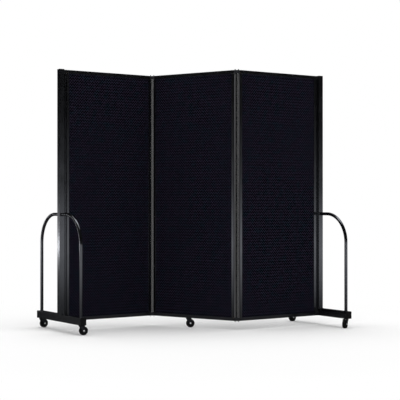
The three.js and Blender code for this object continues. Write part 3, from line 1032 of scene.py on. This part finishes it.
# %% [markdown]
# ## Base bars and plugs
# The bar carries the post and the hoop and holds a caster under each end. It is box-section tube
# with a plastic plug in each end. It could be built lying down, but then the drawing-out code would
# have to know every direction, so it is drawn out upright like the post and then laid down. The
# plugs use the same moulded cap as the posts, because both are the same kind of part.

# %% Base bars and plugs
bar_round, bar_wall = 2.2 * MM, 2 * MM


def base_bar(side, where, body):
    node = f"{side}_base_bar"
    low, high = extent(node, where)
    plugs = {end: extent(f"{side}_bar_{end}_plug", where) for end in ("front", "rear")}
    half, middle = high.x - post_centre, (low.z + high.z) / 2
    tall = high.z - middle
    outlines = [
        rectangle(-half, half, -tall, tall, bar_round),
        rectangle(bar_wall - half, half - bar_wall, bar_wall - tall, tall - bar_wall, tube_round),
    ]
    tube = drawn_out(node, outlines, low.y, high.y, cut_edge)
    tube.transform(Matrix.Translation((post_centre, 0, middle)) @ ALONG_Y)
    add(f"{node}_tube", tube, where, body, frame_paint, [node])
    lug(f"{node}_lug", where, body, -low.x, post_centre - half, low.z, low.z + lug_height)
    for end, (plug_low, plug_high) in plugs.items():
        way = 1 if plug_high.y > high.y else -1
        turn = Matrix.Rotation(-way * math.pi / 2, 4, "X")
        seat = where @ Matrix.Translation((post_centre, way * high.y, middle)) @ turn
        thickness = max(plug_high.y, -plug_low.y) - high.y
        capped(f"{side}_bar_{end}_plug", seat, half, tall, thickness, body)
    return high.z


for side in ("left", "right"):
    bar_top = base_bar(side, end_place(side), f"{side}_end_frame")
print(f"bar top at {bar_top * 1000:.0f} mm")

# %% [markdown]
# ## Hoops
# The hoop is one length of round tube, bent to an upside-down U that passes through the post and
# stands on the bar. It stiffens the end frame and serves as a handle. Two straight tubes and a half
# ring would show seams, so one ring of points is swept along the whole line, with finer steps in the
# bends.

# %% Hoops
hoop_bend, bend_steps, hoop_sides = 170 * MM, 40, 40


def hoop(side, where, body):
    node = f"{side}_hoop"
    low, high = extent(node, where)
    radius = (high.x - low.x) / 2
    leg, top = high.y - radius, high.z - radius
    centre_y, centre_z = leg - hoop_bend, top - hoop_bend
    line = arc((centre_y, centre_z), hoop_bend, 0, math.pi / 2, bend_steps)
    line += arc((-centre_y, centre_z), hoop_bend, math.pi / 2, math.pi, bend_steps)
    line = [(leg, low.z), *line, (-leg, low.z)]
    path = [(post_centre, y, z) for y, z in line]
    tube = swept(node, path, (1, 0, 0), radius, hoop_sides)
    add(f"{node}_tube", tube, where, body, frame_paint, [node], even=False)
    for number, way in enumerate((-1, 1)):
        foot = ring_path((post_centre, way * leg, low.z), radius, (1, 0, 0), (0, 1, 0))
        bead(f"{node}_foot_weld_{number}", foot, (0, 0, 1), where, body)
        collar = ring_path((post_centre, way * post_half, top), radius, (1, 0, 0), (0, 0, 1))
        bead(f"{node}_post_weld_{number}", collar, (0, 1, 0), where, body)
    return radius, leg


for side in ("left", "right"):
    tube_radius, leg_offset = hoop(side, end_place(side), f"{side}_end_frame")
print(f"hoops of {tube_radius * 2000:.0f} mm tube, legs {leg_offset * 2000:.0f} mm apart")

# %% [markdown]
# ## Casters
# Five small swivel casters carry the screen, two under each bar and one under the middle panel.
# Each could be modelled where it stands, but they are alike, so the meshes are made once and shared.
# A caster's own axes come from its two joints: the stem that it swivels on and the wheel's axle.

# %% Caster sizes
fork_sheet, crown_sheet, crown_gap, sheet_round = 2.5 * MM, 3 * MM, 1.5 * MM, 3.6 * MM

caster_names = ["left_front", "left_rear", "middle", "right_front", "right_rear"]
caster_place = {}
for name in caster_names:
    swivel, axle = joint_point(f"{name}_caster_swivel"), joint_point(f"{name}_wheel_roll")
    caster_place[name] = place(swivel, axle - swivel)
trail, wheel_radius = (axle - swivel).to_2d().length, axle.z
crown_top = 2 * wheel_radius + crown_gap + crown_sheet

sample = caster_place["middle"]
fork_half, stem_top = extent("middle_caster_fork", sample)[1].yz
tread_half = extent("middle_caster_wheel", sample)[1].y
bolt_half = extent("middle_caster_axle", sample)[1].y
print(f"wheel {wheel_radius * 2000:.0f} mm, trail {trail * 1000:.0f} mm")
print(f"fork {fork_half * 2000:.1f} mm wide")

# %% [markdown]
# ## Fork and swivel head
# The fork is pressed from sheet steel: flat legs, a crown and a soft bend between them. Building
# that bend face by face is slow, so a U-section is drawn out and cut to the fork's side view by a
# Boolean modifier, and a small bevel eases the cut edges. The swivel race and the rivet are turned.

# %% Fork
fork_heel, fork_toe, fork_eye, eye_steps = 13 * MM, 20 * MM, 7.5 * MM, 24
sheet_steps, bevel_segments, bevel_degrees, fork_sharp_degrees = 8, 2, 50, 30


def fork_mesh():
    """A folded sheet: the U-section and its side view, intersected, with eased edges."""
    inner, under = fork_half - fork_sheet, crown_top - crown_sheet
    foot = wheel_radius - fork_eye - cut_edge
    section = rounded([
        (fork_half, foot, 0), (fork_half, crown_top, sheet_round),
        (-fork_half, crown_top, sheet_round), (-fork_half, foot, 0),
        (-inner, foot, 0), (-inner, under, sheet_round - fork_sheet),
        (inner, under, sheet_round - fork_sheet), (inner, foot, 0),
    ], 0, sheet_steps)
    folded = drawn_out("fork section", [section], -fork_heel - cut_edge, fork_toe + cut_edge)
    folded.transform(ALONG_X)
    view = arc((trail, wheel_radius), fork_eye, math.pi, 2 * math.pi, eye_steps)
    view = [(x, -z) for x, z in view + [(fork_toe, crown_top), (-fork_heel, crown_top)]]
    side_view = drawn_out("fork side view", [view], -fork_half - cut_edge, fork_half + cut_edge)
    side_view.transform(ALONG_Y)

    blank, cutter = (bpy.data.objects.new(mesh.name, mesh) for mesh in (folded, side_view))
    for item in (blank, cutter):
        scene.collection.objects.link(item)
    cut = blank.modifiers.new("side view", "BOOLEAN")
    cut.operation, cut.object, cut.solver = "INTERSECT", cutter, "EXACT"
    bevel = blank.modifiers.new("eased edges", "BEVEL")
    bevel.width, bevel.segments = cut_edge, bevel_segments
    bevel.angle_limit = math.radians(bevel_degrees)
    shape = bmesh.new()
    shape.from_object(blank, bpy.context.evaluated_depsgraph_get())
    for item in (blank, cutter):
        data = item.data
        bpy.data.objects.remove(item)
        bpy.data.meshes.remove(data)
    return finished("caster fork", shape, fork_sharp_degrees)


fork_shape = fork_mesh()
print("fork faces:", len(fork_shape.polygons))

# %% Swivel head
head_radius, head_height, stem_radius = 12.5 * MM, 2.2 * MM, 4 * MM
race_groove, race_lip = 0.9 * MM, 0.5 * MM
rivet_radius, rivet_drop, rod_sides = 4.2 * MM, 1.4 * MM, 32


def head_mesh():
    """The two cups of the swivel race with the stem above, and the rivet under the crown."""
    waist, top = crown_top + race_groove, crown_top + head_height
    race = [
        (0, crown_top), (head_radius - race_lip, crown_top), (head_radius, crown_top + race_lip),
        (head_radius - race_lip / 2, waist), (head_radius - 2 * race_lip, waist + race_lip / 2),
        (head_radius - race_lip, waist + race_lip), (head_radius - 2 * race_lip, top),
        (stem_radius, top), (stem_radius, stem_top - race_lip),
        (stem_radius - race_lip, stem_top), (0, stem_top),
    ]
    under = crown_top - crown_sheet
    turns = quarter_turn(dome_steps)
    rivet = [(rivet_radius * math.sin(t), under - rivet_drop * math.cos(t)) for t in turns]
    rivet += [(rivet_radius, under + cut_edge), (0, under + cut_edge)]
    return merged("caster head", turned("race", race), turned("rivet", rivet, rod_sides))


swivel_head = head_mesh()
print("swivel head faces:", len(swivel_head.polygons))

# %% [markdown]
# ## Wheel and bolt
# The wheel is a hard rubber tread round a moulded centre with a dished web, and a plated bolt holds
# it, which shows as a bright dot in each black wheel. One turned shape could be painted in two
# colours, but tread and centre are two parts with a step between them, so they are turned apart.

# %% Wheel
tread_round, rim_radius, rim_step = 2.6 * MM, 21 * MM, 0.4 * MM
web_radius, web_depth, hub_radius, bolt_radius = 18.5 * MM, 2.5 * MM, 8 * MM, 3 * MM
wheel_sides, tread_steps = 96, 8


def mirrored_profile(half):
    """A profile that is the same on both faces of the wheel, from one face to the other."""
    return [(radius, -z) for radius, z in half] + half[::-1]


def wheel_meshes():
    corner = (wheel_radius - tread_round, tread_half - tread_round)
    shoulder = arc(corner, tread_round, math.pi / 2, 0, tread_steps)
    shoulder = [(rim_radius - lip_round, tread_half), *shoulder]
    tyre = turned("caster tread", mirrored_profile(shoulder), wheel_sides)
    dish, rim_face = tread_half - web_depth, tread_half - rim_step
    half = [
        (bolt_radius, tread_half), (hub_radius - lip_round, tread_half),
        (hub_radius, tread_half - lip_round), (hub_radius + lip_round, dish),
        (web_radius, dish), (web_radius + lip_round, rim_face - lip_round),
        (web_radius + 2 * lip_round, rim_face), (rim_radius, rim_face),
    ]
    centre = turned("wheel centre", mirrored_profile(half), wheel_sides)
    return tyre, centre


tyre_mesh, centre_mesh = wheel_meshes()
print("tread faces:", len(tyre_mesh.polygons), "and centre faces:", len(centre_mesh.polygons))

# %% Bolt
hex_radius, washer_radius, washer_thickness = 4.6 * MM, 5 * MM, 0.6 * MM


def bolt_mesh():
    """A rod through the wheel, with a washer and a hexagon outside each leg of the fork."""
    tip = bolt_half - cut_edge
    end = [(0, tip), (bolt_radius - cut_edge, tip), (bolt_radius, tip - cut_edge)]
    parts = [turned("rod", mirrored_profile(end), rod_sides)]
    for way in (-1, 1):
        inside, face, outside = fork_half, fork_half + washer_thickness, bolt_half - 2 * cut_edge
        washer, hexagon = (sorted((way * a, way * b)) for a, b in ((inside, face), (face, outside)))
        parts.append(drawn_out("washer", [circle(washer_radius)], *washer, cut_edge))
        parts.append(drawn_out("hexagon", [circle(hex_radius, 6)], *hexagon, cut_edge))
    return merged("caster bolt", *parts)


axle_bolt = bolt_mesh()
print("bolt faces:", len(axle_bolt.polygons))

# %% [markdown]
# ## The five casters
# On each caster the fork, its head and the bolt swivel together, and only the tread and the centre
# roll. The five could be copied by hand, but a loop keeps them alike and ties every piece to the
# right body. The turned pieces were made upright at the origin, so they are laid on the axle first.

# %% The five casters
for mesh in (tyre_mesh, centre_mesh, axle_bolt):
    mesh.transform(Matrix.Translation((trail, 0, wheel_radius)) @ ALONG_Y)
for name, where in caster_place.items():
    caster, wheel = f"{name}_caster", f"{name}_wheel"
    forks, wheels = [f"{caster}_fork"], [f"{caster}_wheel"]
    add(f"{caster}_fork_sheet", fork_shape, where, caster, hinge_paint, forks)
    add(f"{caster}_swivel_head", swivel_head, where, caster, hinge_paint)
    add(f"{caster}_bolt", axle_bolt, where, caster, zinc, [f"{caster}_axle"])
    add(f"{caster}_tread", tyre_mesh, where, wheel, rubber, wheels, even=False)
    add(f"{caster}_centre", centre_mesh, where, wheel, plastic, even=False)
print(len(caster_place), "casters")
